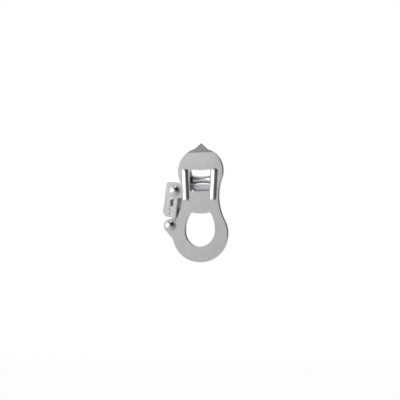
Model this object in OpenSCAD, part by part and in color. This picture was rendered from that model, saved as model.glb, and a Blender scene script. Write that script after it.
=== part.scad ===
// Belay device: a forged face plate with a carabiner eye and a rope window,
// a saddle-shaped rope spool held behind the window by two cheeks, and a
// sprung release lever on the left that carries a brake shoe under the spool.
// X runs across the face, Y from the face to the back, Z along the device.
// The origin is the centre of the carabiner eye at mid-thickness of the plate.

/* [Face plate] */
// Thickness of the face plate
plate_t = 6; // [4:0.5:8]
// Height of the upper lobe's centre above the lower lobe's centre
lobe_span = 63; // [56:1:76]
// Radius of the upper lobe
top_r = 23; // [21:0.5:26]
// Radius of the lower lobe
low_r = 28.3; // [26:0.5:34]
// Half of the width of the neck between the lobes
neck_half = 18.7; // [17.5:0.1:20]
// Radius of the full-round lower half of the carabiner eye
eye_r = 15.8; // [12:0.2:18]
// Height of the eye's upper corner centres above its middle
eye_rise = 15; // [13:0.5:17]
// Radius of the eye's leaning upper sides
eye_side_r = 28.3; // [24:0.5:40]
// Radius of the eye's upper corners
eye_corner_r = 2.5; // [1.5:0.1:4]
// Sag of the edge that bulges into the eye
eye_bulge = 1.1; // [0.8:0.1:1.4]
// Radius of the edges that bulge into the eye and the window
bulge_r = 32; // [25:1:60]

/* [Beak] */
// Height of the beak's tip above the upper lobe
beak_h = 4.9; // [3:0.1:8]
// Slope of the beak's flanks below the horizontal, in degrees
beak_slope = 43; // [38:1:50]
// Radius that blends the beak into the lobe
beak_blend_r = 5; // [3:0.5:7]
// Height of the beak's crease above the upper lobe's centre
crease_rise = 18; // [16:0.5:20]
// Backward lean of the beak's front face, in degrees
beak_lean = 17; // [8:1:22]

/* [Window and ribs] */
// Width of the rope window
window_w = 21.6; // [18:0.2:22]
// Height of the rope window at its corners
window_h = 23; // [20:0.5:25]
// Height of the window's lower edge above the origin
window_z = 38.5; // [36:0.5:40]
// Radius of the window's corners
window_corner_r = 2.4; // [1:0.2:4]
// Sag of the edge that bulges into the window
window_bulge = 1.5; // [1:0.1:1.8]
// Length of the rounded ribs beside the window
rib_len = 27; // [20:1:30]
// Radius of a rib's round section
rib_r = 3.4; // [3:0.1:3.6]
// How far a rib stands proud of the face
rib_proud = 1.4; // [0.8:0.1:1.8]
// Distance of a rib's upper end from the middle
rib_top_x = 15.4; // [14.5:0.1:16]
// Distance of a rib's lower end from the middle
rib_low_x = 14.1; // [13.5:0.1:15]

/* [Cheeks and spool] */
// Thickness of each cheek
cheek_t = 2.5; // [2:0.25:3]
// Distance between the cheeks
cheek_gap = 22.4; // [22:0.2:24]
// Depth of the grooves in the plate's back that seat the cheeks
seat_depth = 1.5; // [0.8:0.1:2]
// Radius of the spool's flanges
spool_r = 4.4; // [4:0.1:5]
// Radius of the spool's waist
spool_waist_r = 3.3; // [3.1:0.1:3.6]
// Width of each spool flange
spool_flange_w = 1; // [0.8:0.1:1.4]
// Gap between a spool flange and the window's side
spool_side_gap = 1.6; // [1.5:0.1:2]
// Height of the spool's axis above the window's lower edge
spool_rise = 12.3; // [11.6:0.1:13]
// Radius of the spool's axle
axle_r = 1.8; // [1.5:0.1:1.9]
// Wall of the bushes in the spool
bush_wall = 0.8; // [0.6:0.1:0.9]
// Length of each bush inside the spool
bush_len = 6; // [4:0.5:8]
// Thickness of the pivot's washers and the bush flanges
washer_t = 0.6; // [0.4:0.1:0.8]

/* [Side pins] */
// Distance of the upper pin from the middle
upper_pin_x = 26.1; // [25:0.1:28]
// Height of the upper pin above the origin
upper_pin_z = 39.5; // [38:0.5:42]
// Distance of the lower pin from the middle
lower_pin_x = 30.7; // [30:0.1:33]
// Height of the lower pin above the origin
lower_pin_z = 4.5; // [2:0.5:6]
// Radius of the pins' shanks
pin_r = 3; // [2.5:0.1:3.4]
// Radius of the pins' domed heads
pin_head_r = 4.7; // [4.2:0.1:5]
// Height of the pins' domed heads
pin_head_h = 2.6; // [1.5:0.1:3]
// Radius of the upper ear
upper_ear_r = 7.4; // [7:0.1:8]
// Radius of the lower ear
lower_ear_r = 6.9; // [6.6:0.1:7.4]
// Distance from the plate's back to the rear bracket
bay_d = 15; // [14:0.5:18]
// Thickness of the rear bracket
bracket_t = 2.4; // [2:0.1:3]
// Thickness of the strap that ties the pins together
strap_t = 2; // [1.5:0.1:2.5]
// Width of the strap between the pins
strap_w = 3.6; // [3:0.1:5]

/* [Release lever] */
// Thickness of the lever's folded sheet
lever_t = 2; // [1.5:0.1:2.2]
// Height of the lever's top above the upper pin
lever_rise = 9.5; // [8:0.5:10]
// Length of the lever below the upper pin
lever_drop = 25.4; // [22:0.2:26.4]
// Reach of the lever outwards from the upper pin
lever_reach = 15.6; // [14:0.2:20]
// Wall of the bush that the lever turns on
pivot_wall = 1.5; // [1.2:0.1:1.8]
// Wire diameter of the torsion spring
wire_d = 1; // [0.8:0.1:1.2]
// Turns in the torsion spring
spring_turns = 2; // [1:1:2]
// Thickness of the brake arm
arm_t = 4; // [3:0.5:4.5]
// Length of the brake shoe
shoe_len = 20.2; // [17:0.1:20.4]
// Height of the brake shoe
shoe_h = 7.1; // [6:0.1:7.5]
// Radius of the brake shoe's lower front edge
shoe_edge_r = 2.6; // [1:0.1:4]

/* [Clearances] */
// Radial clearance of turning parts
run_fit = 0.05; // [0.02:0.01:0.1]
// End clearance of turning parts
end_gap = 0.1; // [0.1:0.05:0.3]
// Turn of the release lever that the brake shoe's cut ends allow, in degrees
lever_turn = 28; // [20:1:30]
// Gap between the resting brake shoe and the spool, and behind the plate
shoe_gap = 0.4; // [0.3:0.1:0.6]

/* [Hidden] */
$fn = 96;

// Plate
back_y = plate_t / 2;
low_z = -4;
top_z = low_z + lobe_span;
apex_z = top_z + top_r + beak_h;
crease_z = top_z + crease_rise;
eye_flat = 1;
rib_head = 0.4;
window_top_z = window_z + window_h;
rib_top_z = window_top_z - rib_r + rib_head;

// Fillet circle that touches both lobes from outside: its radius and height.
// With u its height below the upper lobe's centre, both tangent conditions
// give one quadratic in u.
top_k = top_r - neck_half;
low_k = low_r - neck_half;
top_c = top_r * top_r - neck_half * neck_half;
low_c = low_r * low_r - neck_half * neck_half;
ratio = low_k / top_k;
qa = 1 - ratio;
qb = -2 * lobe_span;
qc = lobe_span * lobe_span - low_c + ratio * top_c;
neck_u = abs(qa) < 0.001 ? -qc / qb : (-qb - sqrt(qb * qb - 4 * qa * qc)) / (2 * qa);
neck_r = (neck_u * neck_u - top_c) / (2 * top_k);
neck_z = top_z - neck_u;
neck_x = neck_half + neck_r;

// Spool and cheeks
spool_z = window_z + spool_rise;
axle_washer_r = axle_r + 1.6;
spool_y = back_y + axle_washer_r + 0.2;
cheek_in = cheek_gap / 2;
cheek_out = cheek_in + cheek_t;
spool_half = window_w / 2 - spool_side_gap;
bush_r = axle_r + bush_wall;
cheek_low_z = rib_top_z - rib_len;
cheek_boss_r = 5.2;
cheek_flange_d = 2.4;
bush_flange_r = bush_r + 0.8;
axle_head_r = 3.4;
axle_head_h = 1.8;
axle_collar_t = 0.8;
axle_collar_r = axle_r + 0.9;
axle_tail = 1;
rivet_r = 1.1;
rivet_head_r = 1.6;
rivet_y = spool_y - 0.6;
rivet_z = spool_z + axle_collar_r + rivet_head_r + 0.3;

// Pins and the stack of parts on them
lower_root_at = [-0.62 * low_r, low_z - 2];
lower_root_r = 10;
pivot_washer_r = pin_r + pivot_wall + 1.8;
strap_eye_r = pin_r + 2.4;
bracket_y = back_y + bay_d;
bracket_out = bracket_y + bracket_t;
strap_out = back_y + strap_t;
pivot_r = pin_r + pivot_wall;
sleeve_r = pivot_r;
ring_r = pin_head_r + 0.9;
ring_t = 0.7;
collar_r = 4.6;
collar_t = 1.2;
tab_t = 2.4;
tab_r = 4.8;
tab_out = cheek_out + tab_t;
upper_pin_at = [-upper_pin_x, upper_pin_z];
lower_pin_at = [-lower_pin_x, lower_pin_z];

// Lever
lever_front = strap_out + washer_t + end_gap;
lever_back = bracket_y - washer_t - end_gap;
hub_r = 7;
lever_edge_r = 2.2;
lever_left = -upper_pin_x - lever_reach + lever_edge_r;
lever_top = upper_pin_z + lever_rise - lever_edge_r;
lever_low = upper_pin_z - lever_drop + lever_edge_r;
web_r = 1.2;
grip_notches = 3;
grip_pitch = 2.6;
grip_r = 0.9;
pad_x = -upper_pin_x - 8.9;
pad_w = 7.6;
pad_h = 10.4;
pad_corner_r = 2;
pad_lip_x = 1.2;
pad_rivet_r = 1.2;
arm_y = lever_front + lever_t + end_gap;
arm_mid = arm_y + arm_t / 2;
arm_r = 2.8;
shoe_front = back_y + shoe_gap;
shoe_back = arm_y + arm_t;
shoe_top = spool_z - spool_r - shoe_gap;
arm_z = shoe_top - shoe_h - arm_r;
shoe_low = shoe_top - shoe_h;
shoe_end = [upper_pin_x - shoe_len / 2, shoe_low - upper_pin_z];
shoe_reach = upper_pin_x - cheek_in + shoe_gap;
shoe_cut_w = (shoe_reach - shoe_end[1] * sin(lever_turn)) / cos(lever_turn) - shoe_end[0];
shoe_cut_h = (shoe_reach - shoe_end[0] * cos(lever_turn)) / sin(lever_turn) - shoe_end[1];
arm_tip_x = 0.36 * shoe_len;
arm_rivet_at = [-upper_pin_x - 6.6, upper_pin_z + 4.4];
arm_rivet_r = 1.5;
screw_r = 1.3;
screw_depth = 4;
spring_r = pivot_r + wire_d / 2 + 0.3;
spring_y = lever_back - lever_t - wire_d / 2 - 0.3;

// ---- Outline helpers ----

// Outline round two circles and the tangents between them
module link(a, ra, b, rb) {
    d = norm(b - a);
    dir = atan2(b[1] - a[1], b[0] - a[0]);
    spread = acos((ra - rb) / d);
    function on(c, r, t) = c + r * [cos(t), sin(t)];
    polygon([on(a, ra, dir + spread), on(a, ra, dir - spread),
        on(b, rb, dir - spread), on(b, rb, dir + spread)]);
    translate(a) circle(r = ra);
    translate(b) circle(r = rb);
}

// Band of half-width r along a list of points
module band(points, r) {
    for (i = [0 : len(points) - 2]) link(points[i], r, points[i + 1], r);
}

// Polygon whose corners are rounded outwards by r
module rounded(points, r) {
    polygon(points);
    band(concat(points, [points[0]]), r);
}

// Extrudes an outline drawn in X and Z from y0 to y1
module slab(y0, y1) {
    translate([0, y1, 0]) rotate([90, 0, 0]) linear_extrude(y1 - y0) children();
}

// Cylinder along Y at a point of the face
module y_rod(at, r, y0, y1) {
    translate([at[0], y0, at[1]]) rotate([-90, 0, 0]) cylinder(r = r, h = y1 - y0);
}

// Cylinder along X at the spool's axis
module x_rod(r, x0, x1) {
    translate([x0, spool_y, spool_z]) rotate([0, 90, 0]) cylinder(r = r, h = x1 - x0);
}

// Domed cap along Y: base radius r, height h, bulging towards -Y from y0
module front_dome(at, r, h, y0) {
    ball = (r * r + h * h) / (2 * h);
    translate([at[0], y0, at[1]]) rotate([90, 0, 0]) intersection() {
        translate([0, 0, h - ball]) sphere(r = ball);
        cylinder(r = r, h = h);
    }
}

// ---- Face plate ----

// Points of an arc, from one angle to another
function arc(c, r, from, to, steps) =
    [for (i = [0 : steps]) let (t = from + (to - from) * i / steps) c + r * [cos(t), sin(t)]];

// Right half of the plate's outline, from the lowest point up to the beak's tip
function half_outline() = let (
    low = [0, low_z],
    top = [0, top_z],
    neck = [neck_x, neck_z],
    low_t = atan2(neck[1] - low[1], neck[0] - low[0]),
    top_t = atan2(neck[1] - top[1], neck[0] - top[0]),
    // Flank of the beak: its outward normal, its direction, and the centre of
    // the fillet that touches both the flank and the lobe
    n = [sin(beak_slope), cos(beak_slope)],
    t = [cos(beak_slope), -sin(beak_slope)],
    v = [0, top_r + beak_h] + beak_blend_r * n,
    reach = top_r + beak_blend_r,
    c = top + v + (-v * t - sqrt((v * t) * (v * t) - v * v + reach * reach)) * t,
    fillet_t = atan2(c[1] - top[1], c[0])
) concat(
    arc(low, low_r, -90, low_t, 44),
    arc(neck, neck_r, 180 + low_t, 180 + top_t, 24),
    arc(top, top_r, top_t, fillet_t, 40),
    arc(c, beak_blend_r, 180 + fillet_t, 270 - beak_slope, 8),
    [[0, apex_z]]);

module gourd() {
    half = half_outline();
    last = len(half) - 1;
    polygon(concat(half, [for (i = [last - 1 : -1 : 1]) [-half[i][0], half[i][1]]]));
}

// Ear that tapers from a pin's boss to a wider or equal root, as one outline
module ear(at, r, root, root_r) {
    dir = atan2(root[1] - at[1], root[0] - at[0]);
    spread = acos((r - root_r) / norm(root - at));
    polygon(concat(arc(at, r, dir + spread, dir + 360 - spread, 40),
        arc(root, root_r, dir - spread, dir + spread, 20)));
}

module ears() {
    ear(upper_pin_at, upper_ear_r, [upper_ear_r - neck_half, upper_pin_z], upper_ear_r);
    ear(lower_pin_at, lower_ear_r, lower_root_at, lower_root_r);
}

// Full-round below, with sides that lean in to two small corners above
module eye() {
    side_c = eye_r - eye_side_r;
    corner_x = side_c + sqrt(pow(eye_side_r - eye_corner_r, 2) - pow(eye_rise - eye_flat, 2));
    touch_z = eye_flat + eye_side_r * sin(atan2(eye_rise - eye_flat, corner_x - side_c));
    difference() {
        union() {
            translate([0, -eye_flat]) circle(r = eye_r);
            translate([-eye_r, -eye_flat]) square([2 * eye_r, 2 * eye_flat]);
            intersection() {
                translate([side_c, eye_flat]) circle(r = eye_side_r, $fn = 200);
                translate([-side_c, eye_flat]) circle(r = eye_side_r, $fn = 200);
                translate([-eye_r, 0]) square([2 * eye_r, touch_z]);
            }
            for (s = [-1, 1]) translate([s * corner_x, eye_rise]) circle(r = eye_corner_r);
            translate([-corner_x, 0]) square([2 * corner_x, eye_rise + eye_corner_r]);
        }
        translate([0, eye_rise + eye_corner_r - eye_bulge + bulge_r]) circle(r = bulge_r, $fn = 200);
    }
}

module window() {
    half = window_w / 2 - window_corner_r;
    difference() {
        rounded([[-half, window_z + window_corner_r], [half, window_z + window_corner_r],
            [half, window_top_z - window_corner_r], [-half, window_top_z - window_corner_r]],
            window_corner_r);
        translate([0, window_top_z - window_bulge + bulge_r]) circle(r = bulge_r, $fn = 200);
    }
}

// Round-ended bar from z = 0 to z = -length, on the axis of its end balls
module capsule(r, length) {
    rotate_extrude() intersection() {
        union() {
            circle(r = r);
            translate([0, -length]) circle(r = r);
            translate([-r, -length]) square([2 * r, length]);
        }
        translate([0, -length - r]) square([r, length + 2 * r]);
    }
}

// Rib beside the window, leaning in towards its lower end
module rib(side) {
    lean = atan2(rib_top_x - rib_low_x, rib_len);
    translate([side * rib_top_x, rib_r - rib_proud - back_y, rib_top_z])
        rotate([0, side * lean, 0]) capsule(rib_r, rib_len);
}

module cheek_seat(side) {
    translate([side > 0 ? cheek_in : -cheek_out, back_y - seat_depth, cheek_low_z])
        cube([cheek_t, seat_depth + 1, rib_len]);
}

module body_plate() color("lightgray") difference() {
    union() {
        slab(-back_y, back_y) difference() {
            union() {
                gourd();
                ears();
            }
            eye();
            window();
        }
        for (side = [-1, 1]) rib(side);
    }
    for (side = [-1, 1]) cheek_seat(side);
    for (at = [upper_pin_at, lower_pin_at]) y_rod(at, pin_r, -back_y - 1, back_y + 1);
    translate([-top_r, -back_y, crease_z]) rotate([-beak_lean, 0, 0])
        translate([0, -10, 0]) cube([2 * top_r, 10, 2 * top_r]);
}

// ---- Cheeks and spool ----

module cheek(side) color("silver") {
    x0 = side > 0 ? cheek_in : -cheek_out;
    difference() {
        translate([x0, 0, 0]) rotate([90, 0, 90]) linear_extrude(cheek_t) {
            translate([back_y - seat_depth, cheek_low_z])
                square([seat_depth + cheek_flange_d, rib_len]);
            link([back_y + cheek_flange_d, spool_z], cheek_boss_r, [spool_y, spool_z], cheek_boss_r + 0.01);
            link([rivet_y - 0.8, rivet_z + 0.2], rivet_r + 1.1, [spool_y, spool_z], cheek_boss_r - 0.2);
        }
        translate([x0 - 1, -20, 0]) cube([cheek_t + 2, 20 + back_y - seat_depth, 100]);
        x_rod(axle_r, x0 - 1, x0 + cheek_t + 1);
        if (side < 0) bracket_rivet_rod(rivet_r, x0 - 1, x0 + cheek_t + 1);
    }
}

module left_cheek() cheek(-1);

module right_cheek() cheek(1);

module rope_spool() color("gainsboro") {
    flank = spool_half - spool_flange_w;
    sag = spool_r - spool_waist_r - 0.3;
    hollow_r = (flank * flank + sag * sag) / (2 * sag);
    translate([0, spool_y, spool_z]) rotate([0, 90, 0]) rotate_extrude() difference() {
        translate([bush_r, -spool_half]) square([spool_r - bush_r, 2 * spool_half]);
        intersection() {
            translate([spool_waist_r + hollow_r, 0]) circle(r = hollow_r, $fn = 200);
            translate([0, -flank]) square([2 * spool_r, 2 * flank]);
        }
    }
}

module spool_bushes() color("goldenrod") for (side = [-1, 1]) difference() {
    union() {
        x_rod(bush_r, side * spool_half - (side > 0 ? bush_len : 0),
            side * spool_half + (side > 0 ? 0 : bush_len));
        x_rod(bush_flange_r, side * spool_half - (side > 0 ? 0 : washer_t),
            side * spool_half + (side > 0 ? washer_t : 0));
    }
    x_rod(axle_r + run_fit, -cheek_in, cheek_in);
}

module spool_axle() color("silver") {
    x_rod(axle_r, -tab_out - axle_tail, cheek_out);
    x_rod(axle_head_r, cheek_out, cheek_out + axle_head_h);
}

module axle_washers() color("dimgray") for (side = [-1, 1]) difference() {
    inner = spool_half + washer_t + end_gap;
    x_rod(axle_washer_r, side > 0 ? inner : -cheek_in, side > 0 ? cheek_in : -inner);
    x_rod(axle_r, -cheek_out, cheek_out);
}

module axle_collar() color("silver") difference() {
    x_rod(axle_collar_r, -tab_out - axle_collar_t, -tab_out);
    x_rod(axle_r, -tab_out - 2, -tab_out + 1);
}

// ---- Rear bracket, strap and pins ----

module bracket_rivet_rod(r, x0, x1) {
    translate([x0, rivet_y, rivet_z]) rotate([0, 90, 0]) cylinder(r = r, h = x1 - x0);
}

module bracket_rivet() color("silver") {
    bracket_rivet_rod(rivet_r, -tab_out, -cheek_in);
    bracket_rivet_rod(rivet_head_r, -tab_out - 0.7, -tab_out);
}

module side_bracket() color("darkgray") difference() {
    union() {
        slab(bracket_y, bracket_out) {
            link(upper_pin_at, hub_r, [-tab_out + tab_t, spool_z - 1], tab_r);
            link(upper_pin_at, hub_r, lower_pin_at, lower_ear_r - 0.8);
        }
        translate([-tab_out, 0, 0]) rotate([90, 0, 90]) linear_extrude(tab_t) {
            link([spool_y, spool_z], tab_r, [bracket_y - 0.4, spool_z - 1], tab_r + 0.01);
            link([spool_y, spool_z], tab_r - 0.2, [rivet_y, rivet_z], rivet_r + 1.1);
        }
    }
    translate([-50, -20, 0]) cube([50, 20 + back_y, 100]);
    translate([-50, bracket_out, 0]) cube([50, 20, 100]);
    for (at = [upper_pin_at, lower_pin_at]) y_rod(at, pin_r, bracket_y - 1, bracket_out + 1);
    x_rod(axle_r, -tab_out - 1, 0);
    bracket_rivet_rod(rivet_r, -tab_out - 1, 0);
    translate([-tab_out + tab_t, 0, 0]) cube([30, 60, 100]);
}

module pin_strap() color("silver") difference() {
    slab(back_y, strap_out) {
        link(upper_pin_at, strap_w / 2, lower_pin_at, strap_w / 2 + 0.01);
        for (at = [upper_pin_at, lower_pin_at]) translate(at) circle(r = strap_eye_r);
    }
    for (at = [upper_pin_at, lower_pin_at]) y_rod(at, pin_r, 0, strap_out + 1);
}

module pin(at) color("whitesmoke") {
    y_rod(at, pin_r, -back_y - ring_t, bracket_out + collar_t);
    front_dome(at, pin_head_r, pin_head_h, -back_y - ring_t);
}

module upper_pin() pin(upper_pin_at);

module lower_pin() pin(lower_pin_at);

module pin_rings() color("silver") for (at = [upper_pin_at, lower_pin_at]) difference() {
    y_rod(at, ring_r, -back_y - ring_t, -back_y);
    y_rod(at, pin_r, -back_y - 2, 0);
}

module pin_collars() color("silver") for (at = [upper_pin_at, lower_pin_at]) difference() {
    y_rod(at, collar_r, bracket_out, bracket_out + collar_t);
    y_rod(at, pin_r, bracket_out - 1, bracket_out + 3);
}

module tube(at, r_in, r_out, y0, y1) difference() {
    y_rod(at, r_out, y0, y1);
    y_rod(at, r_in, y0 - 1, y1 + 1);
}

module pivot_bush() color("goldenrod") tube(upper_pin_at, pin_r, pivot_r, strap_out, bracket_y);

module spacer_sleeve() color("silver") tube(lower_pin_at, pin_r, sleeve_r, strap_out, bracket_y);

module pivot_washers() color("dimgray") {
    tube(upper_pin_at, pivot_r, pivot_washer_r, strap_out, strap_out + washer_t);
    tube(upper_pin_at, pivot_r, pivot_washer_r, bracket_y - washer_t, bracket_y);
}

// ---- Release lever ----

// Closed coils round the pivot bush, with a leg that runs down the bay
module lever_spring() color("dimgray") {
    for (i = [0 : spring_turns - 1])
        translate([-upper_pin_x, spring_y - i * wire_d * 0.98, upper_pin_z]) rotate([90, 0, 0])
            rotate_extrude() translate([spring_r, 0]) circle(d = wire_d, $fn = 24);
    translate([-upper_pin_x + spring_r, spring_y, upper_pin_z]) rotate([180, 0, 0])
        cylinder(d = wire_d, h = 9, $fn = 24);
}

// Centres of the rounded left edge, from its top to its foot
function lever_edge() = [[-upper_pin_x - 9.6, lever_top], [lever_left + 2.6, lever_top - 9.6],
    [lever_left + 1.8, lever_top - 19], [lever_left, lever_low + 4], [lever_left + 1.8, lever_low]];

module lever_face() {
    rounded(concat([[-upper_pin_x - 2.8, lever_top]], lever_edge(),
        [[pad_x - 1.4, lever_low], [pad_x - 1.2, lever_low + 15.8],
        [-upper_pin_x - 3, lever_low + 18.8]]), lever_edge_r);
    translate(upper_pin_at) circle(r = hub_r);
}

module release_lever() color("whitesmoke") difference() {
    union() {
        slab(lever_front, lever_front + lever_t) lever_face();
        slab(lever_back - lever_t, lever_back) lever_face();
        slab(lever_front, lever_back) translate([web_r - lever_edge_r, 0]) band(lever_edge(), web_r);
    }
    y_rod(upper_pin_at, pivot_r + run_fit, 0, bracket_y);
    y_rod(arm_rivet_at, arm_rivet_r, 0, bracket_y);
    for (at = pad_rivet_spots()) y_rod(at, pad_rivet_r, 0, bracket_y);
    for (i = [1 : grip_notches])
        y_rod([lever_left - lever_edge_r - 0.3, lever_low + i * grip_pitch], grip_r, 0, bracket_y);
}

function pad_rivet_spots() = [for (k = [1.2, 5.4]) [pad_x, lever_low + k]];

module pad_outline() {
    right = pad_x + pad_w - 2 * pad_corner_r;
    top = lever_low + pad_h - 2 * pad_corner_r;
    rounded([[pad_x, lever_low], [right, lever_low], [right, top], [pad_x, top]], pad_corner_r);
}

// Block between the lever's sheets, with a lip that comes out flush beside the front sheet
module lever_pad() color("ivory") difference() {
    union() {
        slab(lever_front + lever_t, lever_back - lever_t) pad_outline();
        slab(lever_front, lever_front + lever_t) difference() {
            pad_outline();
            translate([pad_x - pad_w, 0]) square([pad_w + pad_lip_x, lever_top]);
        }
    }
    for (at = pad_rivet_spots()) y_rod(at, pad_rivet_r, 0, bracket_y);
}

module pad_rivets() color("silver") for (at = pad_rivet_spots()) {
    y_rod(at, pad_rivet_r, lever_front, lever_back);
}

module arm_rivet() color("silver") {
    y_rod(arm_rivet_at, arm_rivet_r, lever_front, lever_back);
}

module brake_arm() color("gray") difference() {
    knee = [-upper_pin_x + 5.4, arm_z];
    slab(arm_y, arm_y + arm_t) {
        translate(upper_pin_at) circle(r = hub_r - 0.4);
        link(upper_pin_at, 4.6, arm_rivet_at, 2.4);
        link(upper_pin_at, 5.2, knee, arm_r);
        link(knee, arm_r, [arm_tip_x, arm_z], arm_r);
    }
    y_rod(upper_pin_at, pivot_r + run_fit, 0, bracket_y);
    y_rod(arm_rivet_at, arm_rivet_r, 0, bracket_y);
    for (x = shoe_screw_x()) z_rod(x, screw_r, arm_z - arm_r - 1, shoe_top);
}

function shoe_screw_x() = [for (s = [-1, 1]) s * 0.3 * shoe_len];

module z_rod(x, r, z0, z1) {
    translate([x, arm_mid, z0]) cylinder(r = r, h = z1 - z0);
}

// Corner taken off the brake shoe's lower end, so that it swings clear of the cheek
module shoe_cut(side) {
    end = shoe_len / 2;
    translate([0, shoe_back + 1, 0]) rotate([90, 0, 0]) linear_extrude(shoe_back - shoe_front + 2)
        polygon([[side * (end - shoe_cut_w), shoe_low], [side * end, shoe_low + shoe_cut_h],
            [side * (end + 1), shoe_low + shoe_cut_h], [side * (end + 1), shoe_low - 1],
            [side * (end - shoe_cut_w), shoe_low - 1]]);
}

// Block with a full face behind the window and a round lower front edge
module brake_shoe() color("dimgray") difference() {
    translate([-shoe_len / 2, 0, 0]) rotate([90, 0, 90]) linear_extrude(shoe_len) {
        translate([shoe_front + shoe_edge_r, shoe_low + shoe_edge_r]) circle(r = shoe_edge_r);
        translate([shoe_front, shoe_low + shoe_edge_r])
            square([shoe_back - shoe_front, shoe_h - shoe_edge_r]);
        translate([shoe_front + shoe_edge_r, shoe_low])
            square([shoe_back - shoe_front - shoe_edge_r, shoe_h]);
    }
    for (side = [-1, 1]) shoe_cut(side);
    for (x = shoe_screw_x()) z_rod(x, screw_r, shoe_low - 1, shoe_low + screw_depth);
}

module shoe_screws() color("silver") for (x = shoe_screw_x()) {
    z_rod(x, screw_r, arm_z - arm_r, arm_z + arm_r + screw_depth);
    z_rod(x, screw_r + 0.9, arm_z - arm_r - 1, arm_z - arm_r);
}

body_plate();
left_cheek();
right_cheek();
rope_spool();
spool_bushes();
spool_axle();
axle_washers();
axle_collar();
side_bracket();
bracket_rivet();
pin_strap();
upper_pin();
lower_pin();
pin_rings();
pin_collars();
pivot_bush();
spacer_sleeve();
pivot_washers();
lever_spring();
release_lever();
lever_pad();
pad_rivets();
brake_arm();
arm_rivet();
brake_shoe();
shoe_screws();
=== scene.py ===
"""A belay device: a forged face plate, a rope spool in two cheeks and a sprung release lever.

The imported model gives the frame. Each sub-assembly is a class that holds its sizes in
millimetres, builds its pieces round the CAD nodes and dresses them in their finishes.
X runs across the face, Y from the face to the back, Z along the device.
"""
import logging
import math
from dataclasses import dataclass, field
from enum import Enum
from typing import Any, Iterable, Sequence

import bpy
from mathutils import Matrix, Vector


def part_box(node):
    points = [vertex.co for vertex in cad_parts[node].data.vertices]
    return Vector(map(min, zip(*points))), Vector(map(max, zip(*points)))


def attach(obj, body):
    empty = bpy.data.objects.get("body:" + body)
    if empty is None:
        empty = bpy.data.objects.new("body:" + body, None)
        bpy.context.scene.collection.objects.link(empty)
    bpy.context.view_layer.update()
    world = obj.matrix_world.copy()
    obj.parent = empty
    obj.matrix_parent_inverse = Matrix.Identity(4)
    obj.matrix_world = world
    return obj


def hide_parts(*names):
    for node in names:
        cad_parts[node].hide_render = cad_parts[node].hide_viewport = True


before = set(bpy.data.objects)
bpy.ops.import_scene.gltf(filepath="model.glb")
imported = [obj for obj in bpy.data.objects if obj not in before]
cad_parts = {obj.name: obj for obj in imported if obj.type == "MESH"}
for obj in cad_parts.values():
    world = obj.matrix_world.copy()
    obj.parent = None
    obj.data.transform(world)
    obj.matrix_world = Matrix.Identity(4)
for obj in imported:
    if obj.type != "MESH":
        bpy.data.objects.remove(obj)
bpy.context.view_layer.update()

MM = 0.001
LOG = logging.getLogger("belay_device")

TURNED_WELD = 0.002 * MM
COPY_WELD = 0.001 * MM
FLAT_TURN = math.radians(0.5)
SMOOTH_TURN = math.radians(38)
SHARP_TURN = 32.0
SHEET_TURN = 50.0
EDGE_BAND = (0.995, 0.86)
CORNER_STEPS = 4

Colour = tuple[float, float, float]
Band = tuple[float, float]
Flat = Sequence[Vector]


# ---- Shader maths and finishes ----


class Value:
    """A number socket of a node tree, with Python's arithmetic."""

    def __init__(self, nodes: "Nodes", link: bpy.types.NodeSocket) -> None:
        """Wraps one output socket.

        Args:
            nodes: The tree that the socket belongs to.
            link: The output socket.
        """
        self.nodes = nodes
        self.link = link

    def math(self, operation: str, *values: Any) -> "Value":
        """Adds one Math node.

        Args:
            operation: The Math node's operation.
            values: Its inputs, as numbers or values.

        Returns:
            The result as a value.
        """
        node = self.nodes.add("ShaderNodeMath", {"operation": operation}, dict(enumerate(values)))
        return Value(self.nodes, node.outputs[0])

    def __add__(self, other: Any) -> "Value":
        """Returns self + other."""
        return self.math("ADD", self, other)

    __radd__ = __add__

    def __sub__(self, other: Any) -> "Value":
        """Returns self - other."""
        return self.math("SUBTRACT", self, other)

    def __rsub__(self, other: Any) -> "Value":
        """Returns other - self."""
        return self.math("SUBTRACT", other, self)

    def __mul__(self, other: Any) -> "Value":
        """Returns self * other."""
        return self.math("MULTIPLY", self, other)

    __rmul__ = __mul__

    def ramp(self, low: float, high: float) -> "Value":
        """A smooth step that is 0 at low and 1 at high.

        Args:
            low: Where the step starts. It may lie above high.
            high: Where the step ends.

        Returns:
            The step as a value.
        """
        settings = {"interpolation_type": "SMOOTHSTEP"}
        inputs = {"Value": self, "From Min": low, "From Max": high}
        return Value(self.nodes, self.nodes.add("ShaderNodeMapRange", settings, inputs).outputs[0])


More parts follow.
